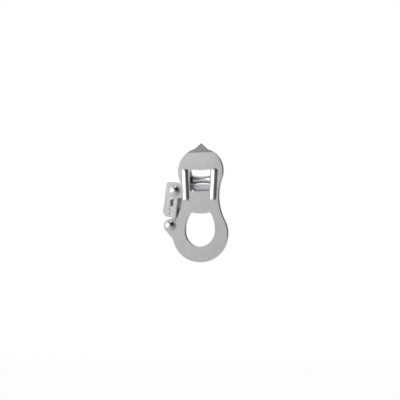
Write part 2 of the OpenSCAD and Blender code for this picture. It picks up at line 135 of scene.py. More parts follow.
class Nodes:
    """A node tree that is filled from Python expressions."""

    def __init__(self, tree: bpy.types.NodeTree) -> None:
        """Takes a tree and empties it.

        Args:
            tree: A material's or a world's node tree.
        """
        self.tree = tree
        tree.nodes.clear()

    def add(self, kind: str, settings: dict | None = None,
            inputs: dict | None = None) -> bpy.types.Node:
        """Adds one node.

        Args:
            kind: The node's type.
            settings: Its settings, which are set first.
            inputs: Values or links, by the name or number of the socket.

        Returns:
            The new node.
        """
        node = self.tree.nodes.new(kind)
        for name, setting in (settings or {}).items():
            setattr(node, name, setting)
        for name, given in (inputs or {}).items():
            source = given.link if isinstance(given, Value) else given
            if isinstance(source, bpy.types.NodeSocket):
                self.tree.links.new(source, node.inputs[name])
            else:
                node.inputs[name].default_value = source
        return node

    def value(self, link: bpy.types.NodeSocket) -> Value:
        """Wraps an output socket for arithmetic."""
        return Value(self, link)

    def place(self) -> bpy.types.NodeSocket:
        """The point on the surface, in the shared frame."""
        return self.add("ShaderNodeTexCoord").outputs["Object"]

    def vector_math(self, operation: str, *vectors: Any) -> bpy.types.Node:
        """Adds one Vector Math node with the given operation and inputs."""
        return self.add("ShaderNodeVectorMath", {"operation": operation}, dict(enumerate(vectors)))

    def split(self, vector: bpy.types.NodeSocket) -> list[Value]:
        """Parts a vector into its X, Y and Z."""
        axes = self.add("ShaderNodeSeparateXYZ", None, {0: vector})
        return [self.value(link) for link in axes.outputs]

    def stretched(self, centre: Vector, scale: Sequence[float]) -> bpy.types.NodeSocket:
        """The point measured from a centre and scaled along each axis.

        Args:
            centre: The pattern's centre in metres.
            scale: Cycles per metre along X, Y and Z.

        Returns:
            The vector socket.
        """
        moved = self.vector_math("SUBTRACT", self.place(), centre)
        return self.vector_math("MULTIPLY", moved.outputs[0], scale).outputs[0]

    def noise(self, vector: bpy.types.NodeSocket, scale: float = 1.0, detail: float = 3.0) -> Value:
        """Noise from 0 to 1.

        Args:
            vector: Where it is read.
            scale: Cycles per unit of the vector.
            detail: Its octaves.

        Returns:
            The noise as a value.
        """
        inputs = {"Vector": vector, "Scale": scale, "Detail": detail}
        return self.value(self.add("ShaderNodeTexNoise", None, inputs).outputs[0])

    def blend(self, share: Value | float, first: Any, second: Any) -> bpy.types.NodeSocket:
        """Mixes two colours.

        Args:
            share: The share of the second colour.
            first: A colour or a colour socket.
            second: A colour or a colour socket.

        Returns:
            The colour socket.
        """
        colours = [(*c, 1.0) if isinstance(c, tuple) else c for c in (first, second)]
        inputs = {0: share, 6: colours[0], 7: colours[1]}
        return self.add("ShaderNodeMix", {"data_type": "RGBA"}, inputs).outputs[2]

    def edges(self, radius: float) -> Value:
        """A mask of the surface's sharp turns.

        Args:
            radius: How far the mask reaches from an edge, in metres.

        Returns:
            The mask, 0 on flat ground and near 1 on an edge.
        """
        rounded = self.add("ShaderNodeBevel", {"samples": 6}, {"Radius": radius})
        true = self.add("ShaderNodeNewGeometry").outputs["Normal"]
        dot = self.vector_math("DOT_PRODUCT", rounded.outputs[0], true)
        return self.value(dot.outputs["Value"]).ramp(*EDGE_BAND)


class Grain(Enum):
    """The way a surface was worked."""

    BRUSHED = "straight strokes across the face"
    DRAWN = "straight strokes along the device"
    TURNED_X = "lathe rings round an axis across the device"
    TURNED_Y = "lathe rings round an axis from face to back"
    BLASTED = "fine pits all over"


@dataclass(frozen=True)
class Finish:
    """A procedural finish with worked grain, patina and worn edges.

    Pitch, relief and edge reach are in millimetres, the scales of the patina's clouds
    and specks in cycles per metre. A band is where a mask starts and where it is full.
    """

    name: str
    colour: Colour
    patina: Colour
    roughness: float
    grain: Grain
    pitch: float = 0.35
    relief: float = 0.012
    patina_share: float = 0.35
    wear: Colour = (0.93, 0.93, 0.94)
    wear_share: float = 0.6
    metallic: float = 1.0
    spread: float = 0.12
    coat: float = 0.0
    centre: tuple[float, float, float] = (0.0, 0.0, 0.0)
    stroke: float = 40.0
    strokes: Band = (0.3, 0.7)
    stroke_share: float = 0.25
    cloud_scale: float = 95.0
    blotches: Band = (0.38, 0.68)
    blotch_relief: float = 0.6
    speck_scale: float = 1400.0
    specks: Band = (0.62, 0.74)
    speck_share: float = 0.18
    speck_relief: float = 0.5
    edge_reach: float = 0.7
    edge_clouds: Band = (0.35, 0.6)
    edge_least: float = 0.55
    edge_polish: float = 0.08
    bump: float = 0.6

    def grain_field(self, nodes: Nodes) -> Value:
        """The grain's height from 0 to 1.

        Args:
            nodes: The material's tree.

        Returns:
            The height as a value.
        """
        fine = 1 / (self.pitch * MM)
        long = fine / self.stroke
        middle = Vector(self.centre)
        if self.grain is Grain.TURNED_Y:
            flat = nodes.stretched(middle, (fine, 0.0, fine))
            far = nodes.vector_math("LENGTH", flat).outputs["Value"]
            inputs = {"W": far, "Scale": 1.0, "Detail": 3.0}
            rings = nodes.add("ShaderNodeTexNoise", {"noise_dimensions": "1D"}, inputs)
            return nodes.value(rings.outputs[0])
        scale = {
            Grain.BRUSHED: (long, fine, fine),
            Grain.DRAWN: (fine, fine, long),
            Grain.TURNED_X: (fine, 0.0, 0.0),
            Grain.BLASTED: (fine, fine, fine),
        }[self.grain]
        return nodes.noise(nodes.stretched(middle, scale))

    def material(self) -> bpy.types.Material:
        """Builds the material once.

        Returns:
            The material.
        """
        found = bpy.data.materials.get(self.name)
        if found:
            return found
        made = bpy.data.materials.new(self.name)
        made.use_nodes = True
        nodes = Nodes(made.node_tree)
        grain = self.grain_field(nodes)
        clouds = nodes.noise(nodes.place(), self.cloud_scale, 4.0)
        blotch = clouds.ramp(*self.blotches)
        specks = nodes.noise(nodes.place(), self.speck_scale, 2.0).ramp(*self.specks)
        broken = self.edge_least + (1 - self.edge_least) * clouds.ramp(*self.edge_clouds)
        edge = nodes.edges(self.edge_reach * MM) * broken
        dulled = blotch * self.patina_share + grain.ramp(*self.strokes) * self.stroke_share
        worked = nodes.blend(dulled, self.colour, self.patina)
        spotted = nodes.blend(specks * self.speck_share, worked, self.patina)
        base = nodes.blend(edge * self.wear_share, spotted, self.wear)
        uneven = (grain - 0.5) * self.spread + (clouds - 0.5) * self.spread
        rough = self.roughness + uneven - edge * self.edge_polish
        height = grain + blotch * self.blotch_relief - specks * self.speck_relief
        bump = nodes.add("ShaderNodeBump", None, {
            "Strength": self.bump, "Distance": self.relief * MM, "Height": height})
        shader = nodes.add("ShaderNodeBsdfPrincipled", None, {
            "Base Color": base, "Roughness": rough, "Metallic": self.metallic,
            "Coat Weight": self.coat, "Normal": bump.outputs[0]})
        nodes.add("ShaderNodeOutputMaterial", None, {"Surface": shader.outputs[0]})
        return made


PLATE = Finish("forged_aluminium", (0.78, 0.775, 0.785), (0.63, 0.625, 0.65), 0.36, Grain.BRUSHED,
               pitch=0.5, patina_share=0.4)
RIB = Finish("pressed_aluminium", (0.86, 0.86, 0.865), (0.72, 0.72, 0.74), 0.3, Grain.DRAWN)
SPOOL = Finish("turned_aluminium", (0.80, 0.79, 0.81), (0.62, 0.61, 0.64), 0.22, Grain.TURNED_X,
               pitch=0.3)
STEEL = Finish("plain_steel", (0.70, 0.70, 0.71), (0.50, 0.50, 0.52), 0.3, Grain.DRAWN, pitch=0.4)
PRESSED = Finish("pressed_steel", (0.62, 0.625, 0.64), (0.46, 0.46, 0.48), 0.38, Grain.BRUSHED,
                 pitch=0.4)
POLISHED = Finish("satin_chrome", (0.95, 0.95, 0.955), (0.84, 0.84, 0.86), 0.3, Grain.DRAWN,
                  relief=0.006, patina_share=0.25, metallic=0.2, coat=0.2)
BRONZE = Finish("sintered_bronze", (0.68, 0.47, 0.22), (0.44, 0.29, 0.14), 0.36, Grain.TURNED_X,
                wear=(0.85, 0.66, 0.36))
WASHER = Finish("blackened_steel", (0.16, 0.16, 0.17), (0.09, 0.09, 0.10), 0.42, Grain.BLASTED,
                wear=(0.45, 0.45, 0.46))
SPRING = Finish("spring_wire", (0.42, 0.42, 0.44), (0.26, 0.26, 0.28), 0.26, Grain.BLASTED,
                pitch=0.2)
PAD = Finish("ivory_nylon", (0.86, 0.85, 0.81), (0.78, 0.76, 0.70), 0.46, Grain.BLASTED,
             metallic=0.0, wear=(0.88, 0.87, 0.84), wear_share=0.3, coat=0.1)
SHOE = Finish("ground_shoe", (0.74, 0.73, 0.76), (0.60, 0.59, 0.63), 0.42, Grain.BRUSHED, pitch=0.6)


# ---- Outlines ----


def arc(centre: Vector, radius: float, start: float, end: float, steps: int) -> list[Vector]:
    """Points of an arc.

    Args:
        centre: Its centre.
        radius: Its radius.
        start: Its first angle in degrees.
        end: Its last angle in degrees.
        steps: How many chords it has.

    Returns:
        The points, both ends included.
    """
    turns = [math.radians(start + (end - start) * i / steps) for i in range(steps + 1)]
    return [centre + radius * Vector((math.cos(t), math.sin(t))) for t in turns]


def bearing(start: Vector, end: Vector) -> float:
    """The angle in degrees of the line from start to end."""
    return math.degrees(math.atan2(end.y - start.y, end.x - start.x))


def meeting(a: Vector, a_reach: float, b: Vector, b_reach: float) -> Vector:
    """The point at given distances from two centres, on the right of the line from a to b.

    Args:
        a: The first centre.
        a_reach: The distance from it.
        b: The second centre.
        b_reach: The distance from it.

    Returns:
        The point.
    """
    span = (b - a).length
    along = (span ** 2 + a_reach ** 2 - b_reach ** 2) / (2 * span)
    aside = math.sqrt(a_reach ** 2 - along ** 2)
    line = (b - a) / span
    return a + line * along + Vector((line.y, -line.x)) * aside


def mirrored(half: Flat) -> list[Vector]:
    """Closes a right half whose ends lie on the middle line.

    Args:
        half: The right half, from one end on the middle line to the other.

    Returns:
        The whole outline.
    """
    return [*half, *[Vector((-p.x, p.y)) for p in reversed(half[1:-1])]]


def taper(a: Vector, a_r: float, b: Vector, b_r: float, steps: int) -> list[Vector]:
    """The outline round two circles and their outer tangents.

    Args:
        a: The first centre.
        a_r: Its radius.
        b: The second centre.
        b_r: Its radius.
        steps: The chords of each end.

    Returns:
        The outline.
    """
    way = bearing(a, b)
    spread = math.degrees(math.acos((a_r - b_r) / (b - a).length))
    return [
        *arc(a, a_r, way + spread, way + 360 - spread, steps),
        *arc(b, b_r, way - spread, way + spread, steps),
    ]


# ---- Pieces ----


class Piece:
    """A mesh object that grows from a primitive by edit-mode operators and modifiers."""

    def __init__(self, obj: bpy.types.Object, name: str) -> None:
        """Takes a new object and names it.

        Args:
            obj: The object.
            name: The piece's name.
        """
        self.obj = obj
        obj.name = name
        obj.data.name = name

    @classmethod
    def ring(cls, name: str, points: Iterable[Vector]) -> "Piece":
        """Starts from a circle primitive whose corners go to an outline in millimetres.

        Args:
            name: The piece's name.
            points: The outline's corners in space.

        Returns:
            The piece.
        """
        corners = list(points)
        bpy.ops.object.select_all(action="DESELECT")
        bpy.ops.mesh.primitive_circle_add(vertices=len(corners), radius=MM)
        piece = cls(bpy.context.object, name)
        for vertex, corner in zip(piece.obj.data.vertices, corners):
            vertex.co = corner * MM
        return piece

    @classmethod
    def slab(cls, name: str, outline: Flat, front: float, back: float) -> "Piece":
        """A plate with an outline in X and Z.

        Args:
            name: The piece's name.
            outline: The outline in millimetres.
            front: The Y of its front in millimetres.
            back: The Y of its back in millimetres.

        Returns:
            The piece.
        """
        piece = cls.ring(name, (Vector((p.x, front, p.y)) for p in outline))
        return piece.extruded(Vector((0, back - front, 0)))

    @classmethod
    def turned(cls, name: str, section: Flat, centre: Vector, axis: Vector, steps: int) -> "Piece":
        """A lathe-turned solid.

        Args:
            name: The piece's name.
            section: Its section as places along the axis and radii, in millimetres.
            centre: A point of the axis in millimetres.
            axis: The axis, a unit vector along X, Y or Z.
            steps: The facets round the axis.

        Returns:
            The piece.
        """
        aside = Vector((0, 0, 1)) if axis.z == 0 else Vector((1, 0, 0))
        piece = cls.ring(name, (centre + axis * p.x + aside * p.y for p in section))
        with piece.editing():
            bpy.ops.mesh.spin(steps=steps, angle=2 * math.pi, center=centre * MM, axis=axis)
            bpy.ops.mesh.select_all(action="SELECT")
            bpy.ops.mesh.remove_doubles(threshold=TURNED_WELD)
            bpy.ops.mesh.normals_make_consistent(inside=False)
        return piece

    @classmethod
    def copy_of(cls, node: str, name: str) -> "Piece":
        """Starts from a merged copy of a CAD node's mesh.

        Args:
            node: The CAD node.
            name: The piece's name.

        Returns:
            The piece.
        """
        obj = bpy.data.objects.new(name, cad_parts[node].data.copy())
        bpy.context.scene.collection.objects.link(obj)
        obj.data.materials.clear()
        piece = cls(obj, name)
        with piece.editing():
            bpy.ops.mesh.remove_doubles(threshold=COPY_WELD)
            bpy.ops.mesh.dissolve_limited(angle_limit=FLAT_TURN)
        return piece

    def editing(self) -> "Editing":
        """A with-block in edit mode with everything selected."""
        return Editing(self.obj)

    def extruded(self, way: Vector) -> "Piece":
        """Fills the ring and pulls it out.

        Args:
            way: The pull in millimetres.

        Returns:
            The piece.
        """
        with self.editing():
            bpy.ops.mesh.edge_face_add()
            bpy.ops.mesh.extrude_region_move(TRANSFORM_OT_translate={"value": way * MM})
            bpy.ops.mesh.select_all(action="SELECT")
            bpy.ops.mesh.normals_make_consistent(inside=False)
        return self

    def modified(self, kind: str, **settings: Any) -> "Piece":
        """Adds one modifier and applies it.

        Args:
            kind: The modifier's type.
            settings: Its settings.

        Returns:
            The piece.
        """
        bpy.ops.object.select_all(action="DESELECT")
        bpy.context.view_layer.objects.active = self.obj
        self.obj.select_set(True)
        modifier = self.obj.modifiers.new(kind.lower(), kind)
        for key, setting in settings.items():
            setattr(modifier, key, setting)
        bpy.ops.object.modifier_apply(modifier=modifier.name)
        return self

    def combined(self, operation: str, *others: "Piece") -> "Piece":
        """Joins with, or cuts away, other pieces, which are used up.

        Args:
            operation: UNION or DIFFERENCE.
            others: The other pieces.

        Returns:
            The piece.
        """
        for other in others:
            self.modified("BOOLEAN", operation=operation, object=other.obj, solver="EXACT")
            bpy.data.objects.remove(other.obj)
        return self

    def planed(self, point: Vector, normal: Vector) -> "Piece":
        """Cuts away what lies beyond a plane.

        Args:
            point: A point of the plane in millimetres.
            normal: The plane's normal, towards the waste.

        Returns:
            The piece.
        """
        with self.editing():
            bpy.ops.mesh.bisect(
                plane_co=point * MM, plane_no=normal, use_fill=True, clear_outer=True)
        return self

    def eased(self, width: float, segments: int = 3, skip: Vector | None = None,
              least: float = SHARP_TURN) -> "Piece":
        """Rounds the sharp edges.

        Args:
            width: How far the rounding reaches, in millimetres.
            segments: Its facets.
            skip: Edges along this direction stay as they are.
            least: The least turn between faces, in degrees, that counts as sharp.

        Returns:
            The piece.
        """
        mesh = self.obj.data
        faces: dict[tuple[int, int], list[Vector]] = {}
        for polygon in mesh.polygons:
            for key in polygon.edge_keys:
                faces.setdefault(key, []).append(polygon.normal.copy())
        weights = mesh.attributes.new("bevel_weight_edge", "FLOAT", "EDGE")
        for edge in mesh.edges:
            normals = faces.get(tuple(sorted(edge.vertices)), [])
            run = mesh.vertices[edge.vertices[1]].co - mesh.vertices[edge.vertices[0]].co
            kept = skip is not None and abs(run.normalized().dot(skip)) > 0.99
            sharp = len(normals) == 2 and normals[0].angle(normals[1], 0) > math.radians(least)
            weights.data[edge.index].value = 1.0 if sharp and not kept else 0.0
        return self.modified("BEVEL", width=width * MM, segments=segments, limit_method="WEIGHT",
                             use_clamp_overlap=True, harden_normals=False, miter_outer="MITER_ARC")

    def finished(self, finish: Finish, body: str, slot: str, *nodes: str) -> "Piece":
        """Smooths, dresses and attaches the piece to its body.

        Args:
            finish: Its finish.
            body: The body that it rides on.
            slot: Not used.
            nodes: The CAD nodes that it stands for.

        Returns:
            The piece.
        """
        bpy.ops.object.select_all(action="DESELECT")
        bpy.context.view_layer.objects.active = self.obj
        self.obj.select_set(True)
        bpy.ops.object.shade_smooth_by_angle(angle=SMOOTH_TURN)
        self.modified("WEIGHTED_NORMAL", keep_sharp=True)
        self.obj.data.materials.clear()
        self.obj.data.materials.append(finish.material())
        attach(self.obj, body)
        if nodes:
            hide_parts(*nodes)
        self.obj.select_set(False)
        LOG.info("%s: %d faces, %s", self.obj.name, len(self.obj.data.polygons), finish.name)
        return self


class Editing:
    """A with-block that edits one object with all of it selected."""

    def __init__(self, obj: bpy.types.Object) -> None:
        """Keeps the object to edit."""
        self.obj = obj

    def __enter__(self) -> None:
        """Enters edit mode."""
        bpy.ops.object.select_all(action="DESELECT")
        bpy.context.view_layer.objects.active = self.obj
        self.obj.select_set(True)
        bpy.ops.object.mode_set(mode="EDIT")
        bpy.ops.mesh.select_all(action="SELECT")

    def __exit__(self, *problem: Any) -> None:
        """Leaves edit mode."""
        bpy.ops.object.mode_set(mode="OBJECT")


class Place:
    """A CAD node's box in millimetres."""

    def __init__(self, node: str) -> None:
        """Reads the box of one node.

        Args:
            node: The CAD node.
        """
        low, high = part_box(node)
        self.low, self.high = low / MM, high / MM
        self.mid = (self.low + self.high) / 2
        self.size = self.high - self.low


def dress_node(node: str, finish: Finish) -> None:
    """Gives a CAD node that keeps its own shape a finish.

    Args:
        node: The CAD node.
        finish: The finish.
    """
    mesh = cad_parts[node].data
    if not mesh.materials:
        mesh.materials.append(None)
    for index in range(len(mesh.materials)):
        mesh.materials[index] = finish.material()
    LOG.info("%s keeps its shape, %s", node, finish.name)


X_AXIS = Vector((1, 0, 0))
Y_AXIS = Vector((0, 1, 0))


def rounded_box_section(along: float, depth: float, inner: float, outer: float,
                        ease: float) -> list[Vector]:
    """A ring's section with eased outer corners.

    Args:
        along: Where it starts along the axis.
        depth: Its length along the axis.
        inner: Its inner radius.
        outer: Its outer radius.
        ease: The radius of its outer corners.

    Returns:
        The section as places along the axis and radii.
    """
    near, far = along + ease, along + depth - ease
    return [
        Vector((along, inner)),
        *arc(Vector((near, outer - ease)), ease, 180, 90, CORNER_STEPS),
        *arc(Vector((far, outer - ease)), ease, 90, 0, CORNER_STEPS),
        Vector((along + depth, inner)),
    ]


# ---- Sub-assemblies ----


@dataclass
class FacePlate:
    """The forged plate with its beak, eye, rope window and two pressed ribs.

    The ribs' sink and lip are how far a rib starts inside the plate and how far its skirt
    stands off the face, and their swell shapes the rise from skirt to crown.
    """

    top_r: float = 23.0
    low_r: float = 28.3
    neck_half: float = 18.7
    low_z: float = -4.0
    beak_h: float = 4.9
    beak_slope: float = 43.0
    beak_blend: float = 5.0
    beak_lean: float = 17.0
    crease_share: float = 0.78
    eye_r: float = 15.8
    eye_side_r: float = 28.3
    eye_top: float = 16.4
    eye_corner_r: float = 2.5
    eye_step: float = 1.0
    bulge_r: float = 32.0
    window_w: float = 21.6
    window_low: float = 38.5
    window_top: float = 60.0
    window_corner_r: float = 2.4
    ear_rs: tuple[float, float] = (7.4, 6.9)
    ear_root_r: float = 10.0
    ear_root_share: float = 0.62
    ear_root_drop: float = 2.0
    ear_taper: float = 0.01
    edge: float = 1.1
    rib_crown: float = 0.3
    rib_skirt: float = 3.1
    rib_ends: tuple[tuple[float, float], tuple[float, float]] = ((15.4, 58.5), (14.1, 31.5))
    rib_proud: float = 1.4
    rib_sink: float = 0.3
    rib_lip: float = 0.02
    rib_swell: float = 1.4
    rib_rings: int = 9
    rib_taper: float = 0.001

    def outline(self, box: Place) -> list[Vector]:
        """The plate's outline without its ears.

        Args:
            box: The CAD plate's box.

        Returns:
            The outline in X and Z.
        """
        low = Vector((0, self.low_z))
        top = Vector((0, box.high.z - self.beak_h - self.top_r))
        span = top.y - low.y
        ratio = (self.low_r - self.neck_half) / (self.top_r - self.neck_half)
        top_c = self.top_r ** 2 - self.neck_half ** 2
        low_c = self.low_r ** 2 - self.neck_half ** 2
        a, b, c = 1 - ratio, -2 * span, span ** 2 - low_c + ratio * top_c
        below = (-b - math.sqrt(b * b - 4 * a * c)) / (2 * a)
        neck_r = (below ** 2 - top_c) / (2 * (self.top_r - self.neck_half))
        neck = Vector((self.neck_half + neck_r, top.y - below))
        slope = math.radians(self.beak_slope)
        normal = Vector((math.sin(slope), math.cos(slope)))
        down = Vector((math.cos(slope), -math.sin(slope)))
        start = Vector((0, self.top_r + self.beak_h)) + self.beak_blend * normal
        reach = self.top_r + self.beak_blend
        run = -start.dot(down) - math.sqrt(start.dot(down) ** 2 - start.length_squared + reach ** 2)
        blend = top + start + down * run
        low_turn, top_turn = bearing(low, neck), bearing(top, neck)
        blend_turn = bearing(top, blend)
        return mirrored([
            *arc(low, self.low_r, -90, low_turn, 60)[:-1],
            *arc(neck, neck_r, 180 + low_turn, 180 + top_turn, 30)[:-1],
            *arc(top, self.top_r, top_turn, blend_turn, 54)[:-1],
            *arc(blend, self.beak_blend, 180 + blend_turn, 270 - self.beak_slope, 8),
            Vector((0, box.high.z)),
        ])

    def eye(self) -> list[Vector]:
        """The carabiner eye: full-round below, two small corners and a bulging edge above.

        Returns:
            The outline in X and Z.
        """
        side = Vector((self.eye_r - self.eye_side_r, self.eye_step))
        bulge = Vector((0, self.eye_top + self.bulge_r))
        inside, outside = self.eye_side_r - self.eye_corner_r, self.bulge_r + self.eye_corner_r
        corner = meeting(side, inside, bulge, outside)
        side_turn, bulge_turn = bearing(side, corner), bearing(corner, bulge)
        return mirrored([
            *arc(Vector((0, -self.eye_step)), self.eye_r, -90, 0, 34),
            *arc(side, self.eye_side_r, 0, side_turn, 18)[:-1],
            *arc(corner, self.eye_corner_r, side_turn, bulge_turn, 8)[:-1],
            *arc(bulge, self.bulge_r, 180 + bulge_turn, 270, 10),
        ])

    def window(self) -> list[Vector]:
        """The rope window: a rounded rectangle whose upper edge bulges downwards.

        Returns:
            The outline in X and Z.
        """
        corner_x = self.window_w / 2 - self.window_corner_r
        bulge = Vector((0, self.window_top + self.bulge_r))
        reach = self.bulge_r + self.window_corner_r
        upper = Vector((corner_x, bulge.y - math.sqrt(reach ** 2 - corner_x ** 2)))
        lower = Vector((corner_x, self.window_low + self.window_corner_r))
        turn = bearing(upper, bulge)
        return mirrored([
            Vector((0, self.window_low)),
            *arc(lower, self.window_corner_r, -90, 0, 8),
            *arc(upper, self.window_corner_r, 0, turn, 8)[:-1],
            *arc(bulge, self.bulge_r, 180 + turn, 270, 10),
        ])

    def ear(self, pin: Place, radius: float, root: Vector, root_r: float) -> list[Vector]:
        """An ear that tapers from a pin's boss to its root in the plate."""
        return taper(Vector((pin.mid.x, pin.mid.z)), radius, root, root_r, 40)

    def build(self) -> None:
        """Builds the plate and its ribs."""
        box = Place("body_plate")
        back = box.high.y
        upper, lower = Place("upper_pin"), Place("lower_pin")
        plate = Piece.slab("face_plate", self.outline(box), -back, back)
        upper_root = Vector((self.ear_rs[0] - self.neck_half, upper.mid.z))
        lower_root = Vector((-self.ear_root_share * self.low_r, self.low_z - self.ear_root_drop))
        upper_r, lower_r = self.ear_rs
        ears = {
            "upper_ear": self.ear(upper, upper_r, upper_root, upper_r - self.ear_taper),
            "lower_ear": self.ear(lower, lower_r, lower_root, self.ear_root_r),
        }
        plate.combined("UNION", *[Piece.slab(name, ear, -back, back) for name, ear in ears.items()])
        past = back + 1
        plate.combined("DIFFERENCE", Piece.slab("eye_cut", self.eye(), -past, past),
                       Piece.slab("window_cut", self.window(), -past, past))
        lean = math.radians(self.beak_lean)
        crease = box.high.z - self.beak_h - self.top_r + self.crease_share * self.top_r
        plate.planed(Vector((0, -back, crease)), Vector((0, -math.cos(lean), math.sin(lean))))
        plate.eased(self.edge, 4, skip=Y_AXIS)
        plate.finished(PLATE, "device", "plate", "body_plate")
        for side, name in ((-1, "left_rib"), (1, "right_rib")):
            self.build_rib(name, side, -back)

    def build_rib(self, name: str, side: int, face: float) -> None:
        """Builds one rib as a stadium that rises in rings from a flared skirt.

        Args:
            name: The piece's name.
            side: -1 for the left, 1 for the right.
            face: The Y of the plate's face.
        """
        ends = [Vector((side * x, z)) for x, z in self.rib_ends]
        skirt = taper(ends[0], self.rib_skirt, ends[1], self.rib_skirt - self.rib_taper, 20)
        rib = Piece.ring(name, (Vector((p.x, face + self.rib_sink, p.y)) for p in skirt))
        inset = (self.rib_skirt - self.rib_crown) / self.rib_rings
        stand = self.rib_sink + self.rib_lip
        with rib.editing():
            bpy.ops.mesh.edge_face_add()
            bpy.ops.mesh.extrude_region_move(TRANSFORM_OT_translate={"value": (0, -stand * MM, 0)})
            rise = 0.0
            for step in range(1, self.rib_rings + 1):
                share = step / self.rib_rings
                height = self.rib_proud * math.sin(math.pi / 2 * share) ** self.rib_swell
                bpy.ops.mesh.inset(thickness=inset * MM, depth=0.0, use_even_offset=True)
                bpy.ops.transform.translate(value=(0, (rise - height) * MM, 0))
                rise = height
            bpy.ops.mesh.select_all(action="SELECT")
            bpy.ops.mesh.normals_make_consistent(inside=False)
        rib.finished(RIB, "device", "plate")


@dataclass
class SpoolSet:
    """The rope spool with its bushes, axle, washers and collar."""

    flange_w: float = 1.0
    waist_r: float = 3.3
    rim: float = 0.35
    shank_r: float = 1.8
    bush_wall: float = 0.8
    bush_lip: float = 0.8
    bush_play: float = 0.05
    bush_ease: float = 0.12
    flank_drop: float = 0.2
    flank_ease: float = 0.3
    tail_ease: float = 0.4
    head_rim: float = 0.2
    dome_share: float = 0.6
    collar_ease: float = 0.25

    def build(self) -> None:
        """Builds the spool, then what it turns on."""
        spool = Place("rope_spool")
        axle = Place("spool_axle")
        bushes = Place("spool_bushes")
        centre = Vector((0, spool.mid.y, spool.mid.z))
        radius, half = spool.size.z / 2, spool.high.x
        bore = self.shank_r + self.bush_wall
        flank = half - self.flange_w
        sag = radius - self.waist_r - self.flank_drop
        hollow = (flank ** 2 + sag ** 2) / (2 * sag)
        curve_turn = math.degrees(math.asin(flank / hollow))
        low = Vector((0, self.waist_r + hollow))
        waist = arc(low, hollow, 270 - curve_turn, 270 + curve_turn, 28)
        rim, ease = self.rim, self.flank_ease
        section = [
            Vector((-half, bore)),
            *arc(Vector((-half + rim, radius - rim)), rim, 180, 90, CORNER_STEPS),
            *arc(Vector((-flank - ease, radius - ease)), ease, 90, 0, 3),
            *waist,
            *arc(Vector((flank + ease, radius - ease)), ease, 180, 90, 3),
            *arc(Vector((half - rim, radius - rim)), rim, 90, 0, CORNER_STEPS),
            Vector((half, bore)),
        ]
        Piece.turned("rope_spool_turned", section, centre, X_AXIS, 96).finished(
            SPOOL, "spool", "spool", "rope_spool")
        reach = bushes.high.x
        for side, name in ((-1, "left_bush"), (1, "right_bush")):
            start = half if side > 0 else -reach
            flange = rounded_box_section(start, reach - half, self.shank_r + self.bush_play,
                                         bore + self.bush_lip, self.bush_ease)
            stands_for = ("spool_bushes",) if side < 0 else ()
            Piece.turned(name, flange, centre, X_AXIS, 48).finished(
                BRONZE, "spool", "bush", *stands_for)
        self.build_axle(axle, centre)

    def build_axle(self, axle: Place, centre: Vector) -> None:
        """Builds the axle with its domed head and the peened collar.

        Args:
            axle: The CAD axle's box.
            centre: A point of its axis.
        """
        shank, head = self.shank_r, axle.size.z / 2
        cheek = Place("right_cheek").high.x
        end, tail = axle.high.x, axle.low.x
        dome = (end - cheek) * self.dome_share
        ease, rim = self.tail_ease, self.head_rim
        section = [
            Vector((tail, 0)),
            *arc(Vector((tail + ease, shank - ease)), ease, 180, 90, CORNER_STEPS),
            Vector((cheek, shank)),
            Vector((cheek, head - rim)),
            Vector((cheek + rim, head)),
            *[Vector((end - dome * (1 - math.cos(t)), head * math.sin(t)))
              for t in (math.radians(90 - 10 * i) for i in range(9))],
            Vector((end, 0)),
        ]
        Piece.turned("spool_axle_turned", section, centre, X_AXIS, 56).finished(
            STEEL, "device", "pin", "spool_axle")
        collar = Place("axle_collar")
        ring = rounded_box_section(collar.low.x, collar.size.x, shank, collar.size.z / 2,
                                   self.collar_ease)
        Piece.turned("axle_collar_ring", ring, centre, X_AXIS, 48).finished(
            STEEL, "device", "pin", "axle_collar")
        dress_node("axle_washers", WASHER)


@dataclass
class Frames:
    """The cheeks, the rear bracket and its rivet, and the strap between the pins."""

    ease: float = 0.35

    def build(self) -> None:
        """Builds each sheet part with eased edges."""
        for node, finish, slot in (
            ("left_cheek", PRESSED, "cheek"),
            ("right_cheek", PRESSED, "cheek"),
            ("side_bracket", PRESSED, "bracket"),
            ("pin_strap", POLISHED, "strap"),
            ("bracket_rivet", STEEL, "pin"),
        ):
            piece = Piece.copy_of(node, f"{node}_eased").eased(self.ease, 2)
            piece.finished(finish, "device", slot, node)


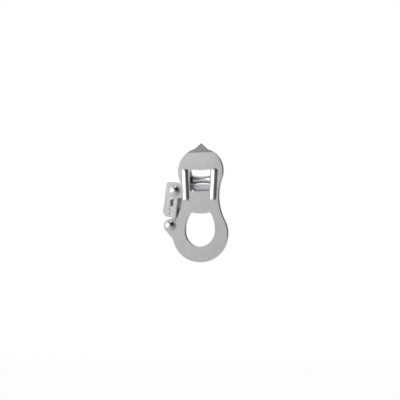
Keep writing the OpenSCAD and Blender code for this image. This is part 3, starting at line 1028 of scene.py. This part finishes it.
@dataclass
class SidePins:
    """The two riveted pins with their rings, collars, bush, sleeve and washers."""

    shank_r: float = 3.0
    ring_t: float = 0.7
    collar_t: float = 1.2
    head_edge: float = 0.15
    tail_ease: float = 0.5
    ring_ease: float = 0.3
    collar_ease: float = 0.4

    def build(self) -> None:
        """Builds both pins and what sits on them."""
        for node in ("upper_pin", "lower_pin"):
            self.build_pin(node)
        dress_node("pivot_bush", BRONZE)
        dress_node("spacer_sleeve", STEEL)
        dress_node("pivot_washers", WASHER)

    def build_pin(self, node: str) -> None:
        """Builds one pin, its ring in front and its peened collar behind.

        Args:
            node: The CAD pin.
        """
        box = Place(node)
        centre = Vector((box.mid.x, 0, box.mid.z))
        spot = tuple(centre * MM)
        domed = Finish(f"domed_steel_{node}", (0.88, 0.88, 0.89), (0.74, 0.74, 0.75), 0.1,
                       Grain.TURNED_Y, pitch=0.4, relief=0.004, patina_share=0.15, spread=0.05,
                       centre=spot)
        plain = Finish(f"ring_steel_{node}", (0.80, 0.80, 0.81), (0.62, 0.62, 0.64), 0.24,
                       Grain.TURNED_Y, pitch=0.4, centre=spot)
        base, end = Place("pin_rings").low.y, box.high.y
        Piece.turned(f"{node}_domed", self.section(box, base), centre, Y_AXIS, 72).finished(
            domed, "device", "pin", node)
        for kind, slot, start, depth, ease, steps in (
            ("ring", "ring", base, self.ring_t, self.ring_ease, 64),
            ("collar", "pin", end - self.collar_t, self.collar_t, self.collar_ease, 56),
        ):
            outer = Place(f"pin_{kind}s").high.x - Place("upper_pin").mid.x
            stands_for = (f"pin_{kind}s",) if node == "upper_pin" else ()
            section = rounded_box_section(start, depth, self.shank_r, outer, ease)
            Piece.turned(f"{node}_{kind}", section, centre, Y_AXIS, steps).finished(
                plain, "device", slot, *stands_for)

    def section(self, box: Place, base: float) -> list[Vector]:
        """A pin's section from its domed head to its rounded tail.

        Args:
            box: The CAD pin's box.
            base: The Y of the flat under its head.

        Returns:
            The section as places along the axis and radii.
        """
        head_r, tail = box.size.z / 2, box.high.y
        height, ease = base - box.low.y, self.tail_ease
        ball = (head_r ** 2 + height ** 2) / (2 * height)
        rim = math.degrees(math.asin(head_r / ball))
        turns = [math.radians(rim * i / 16) for i in range(17)]
        return [
            *[Vector((box.low.y + ball - ball * math.cos(t), ball * math.sin(t))) for t in turns],
            Vector((base, head_r - self.head_edge)),
            Vector((base, self.shank_r)),
            *arc(Vector((tail - ease, self.shank_r - ease)), ease, 90, 0, CORNER_STEPS),
            Vector((tail, 0)),
        ]


@dataclass
class LeverSet:
    """The release lever with its nylon pad, rivets and torsion spring."""

    ease: float = 0.6
    pad_ease: float = 0.7

    def build(self) -> None:
        """Builds the lever and dresses what it carries."""
        lever = Piece.copy_of("release_lever", "lever_channel")
        lever.eased(self.ease, 3, least=SHEET_TURN)
        lever.finished(POLISHED, "lever", "lever", "release_lever")
        pad = Piece.copy_of("lever_pad", "nylon_pad").eased(self.pad_ease, 3, least=SHEET_TURN)
        pad.finished(PAD, "lever", "pad", "lever_pad")
        dress_node("pad_rivets", STEEL)
        dress_node("lever_spring", SPRING)


@dataclass
class BrakeGear:
    """The brake arm with its rivet, and the shoe under the spool with its screws."""

    ease: float = 0.4
    shoe_ease: float = 0.5

    def build(self) -> None:
        """Builds the arm and the shoe with eased edges."""
        arm = Piece.copy_of("brake_arm", "brake_arm_eased")
        arm.eased(self.ease, 2, least=SHEET_TURN)
        arm.finished(PRESSED, "lever", "arm", "brake_arm")
        Piece.copy_of("brake_shoe", "brake_shoe_eased").eased(self.shoe_ease, 3).finished(
            SHOE, "lever", "shoe", "brake_shoe")
        dress_node("arm_rivet", STEEL)
        dress_node("shoe_screws", STEEL)


# ---- Studio ----


@dataclass
class Softbox:
    """A square light, placed and sized in metres, that the camera doesn't see."""

    name: str
    place: Vector
    side: float
    power: float

    def build(self, aim: Vector) -> None:
        """Adds the light.

        Args:
            aim: What it faces, in metres.
        """
        bpy.ops.object.select_all(action="DESELECT")
        bpy.ops.object.light_add(type="AREA", location=self.place)
        lamp = bpy.context.object
        lamp.name = self.name
        lamp.visible_camera = False
        lamp.data.size = self.side
        lamp.data.energy = self.power
        lamp.rotation_euler = (aim - self.place).to_track_quat("-Z", "Y").to_euler()


@dataclass
class Studio:
    """The camera, two softboxes, and a sky and a floor that look plain white.

    The camera sees the sky and the floor white. What they send to the device is shaded:
    light from the left and above, a darker band in front and a lit wall behind.
    Angles are in degrees, lengths in metres and strengths in shares of plain white.
    """

    azimuth: float = 17.0
    elevation: float = -4.0
    roll: float = 0.3
    distance: float = 2.0
    lens: float = 180.0
    aim: Vector = field(default_factory=lambda: Vector((-0.7, 0, 30)) * MM)
    floor_z: float = -0.25
    floor_r: float = 12.0
    floor_seen: float = 0.98
    floor_dim: float = 0.15
    floor_left: float = 0.6
    floor_rear: float = 0.35
    sky_dim: float = 0.07
    sky_left: float = 0.38
    sky_window: float = 0.6
    sky_band: float = 0.6
    sky_above: float = 0.8
    sky_rear: float = 0.5
    softboxes: tuple[Softbox, ...] = (
        Softbox("key_panel", Vector((-0.22, -0.36, 0.2)), 0.24, 0.08),
        Softbox("left_softbox", Vector((-1.0, -0.5, 0.3)), 1.0, 6.5),
    )

    def build(self) -> None:
        """Sets the camera, the sky, the floor and the softboxes."""
        scene = bpy.context.scene
        scene.view_settings.view_transform = "Standard"
        self.camera(scene)
        self.sky(scene)
        self.floor()
        for softbox in self.softboxes:
            softbox.build(self.aim)

    def camera(self, scene: bpy.types.Scene) -> None:
        """Adds the camera.

        Args:
            scene: The scene that it belongs to.
        """
        turn, rise = math.radians(self.azimuth), math.radians(self.elevation)
        level = math.cos(rise)
        back = Vector((math.sin(turn) * level, -math.cos(turn) * level, math.sin(rise)))
        bpy.ops.object.select_all(action="DESELECT")
        bpy.ops.object.camera_add(location=self.aim + back * self.distance)
        camera = bpy.context.object
        spin = Matrix.Rotation(math.radians(self.roll), 3, "Z")
        camera.rotation_euler = ((-back).to_track_quat("-Z", "Y").to_matrix() @ spin).to_euler()
        camera.data.lens = self.lens
        scene.camera = camera

    def sky(self, scene: bpy.types.Scene) -> None:
        """Makes the sky, white behind the device and shaded in its reflections.

        Args:
            scene: The scene that it belongs to.
        """
        world = bpy.data.worlds.new("tent")
        world.use_nodes = True
        scene.world = world
        nodes = Nodes(world.node_tree)
        x, y, z = nodes.split(nodes.add("ShaderNodeTexCoord").outputs["Generated"])
        window = x.ramp(-0.36, -0.52) * z.ramp(-0.35, -0.15) * z.ramp(0.2, 0.1)
        left = x.ramp(0.3, -0.4) * self.sky_left + window * self.sky_window
        front_band = z.ramp(0.25, 0.5) * y.ramp(0.1, -0.2) * x.ramp(-0.85, -0.6)
        above = z.ramp(0.86, 0.97) * x.ramp(0.2, -0.1)
        rear = (x * 0.8 + y * 0.6).ramp(0.8, 0.97)
        light = ((self.sky_dim + left) * (1 - front_band * self.sky_band)
                 + above * self.sky_above + rear * self.sky_rear)
        plain = {"Color": (1.0, 1.0, 1.0, 1.0)}
        tent = nodes.add("ShaderNodeBackground", None, {**plain, "Strength": light})
        paper = nodes.add("ShaderNodeBackground", None, {**plain, "Strength": 1.0})
        seen = nodes.add("ShaderNodeLightPath").outputs["Is Camera Ray"]
        inputs = {0: seen, 1: tent.outputs[0], 2: paper.outputs[0]}
        mixed = nodes.add("ShaderNodeMixShader", None, inputs)
        nodes.add("ShaderNodeOutputWorld", None, {"Surface": mixed.outputs[0]})

    def floor(self) -> None:
        """Adds the floor, white to the camera, brighter left and behind in reflections."""
        bpy.ops.object.select_all(action="DESELECT")
        bpy.ops.mesh.primitive_circle_add(
            vertices=96, radius=self.floor_r, fill_type="NGON", location=(0, 0, self.floor_z))
        floor = bpy.context.object
        floor.name = "studio_floor"
        made = bpy.data.materials.new("floor_paper")
        made.use_nodes = True
        nodes = Nodes(made.node_tree)
        seen = nodes.value(nodes.add("ShaderNodeLightPath").outputs["Is Camera Ray"])
        x, y, _ = nodes.split(nodes.place())
        reflected = (self.floor_dim + x.ramp(0.8, -0.8) * self.floor_left
                     + y.ramp(0.0, 1.0) * self.floor_rear)
        strength = reflected * (1 - seen) + seen * self.floor_seen
        shader = nodes.add("ShaderNodeEmission", None, {"Strength": strength})
        nodes.add("ShaderNodeOutputMaterial", None, {"Surface": shader.outputs[0]})
        floor.data.materials.append(made)


def main() -> None:
    """Builds the studio and every sub-assembly."""
    logging.basicConfig(level=logging.INFO, format="%(message)s")
    Studio().build()
    for part in (FacePlate(), SpoolSet(), Frames(), SidePins(), LeverSet(), BrakeGear()):
        LOG.info("== %s", type(part).__name__)
        part.build()
    bpy.context.view_layer.update()


if __name__ == "__main__":
    main()
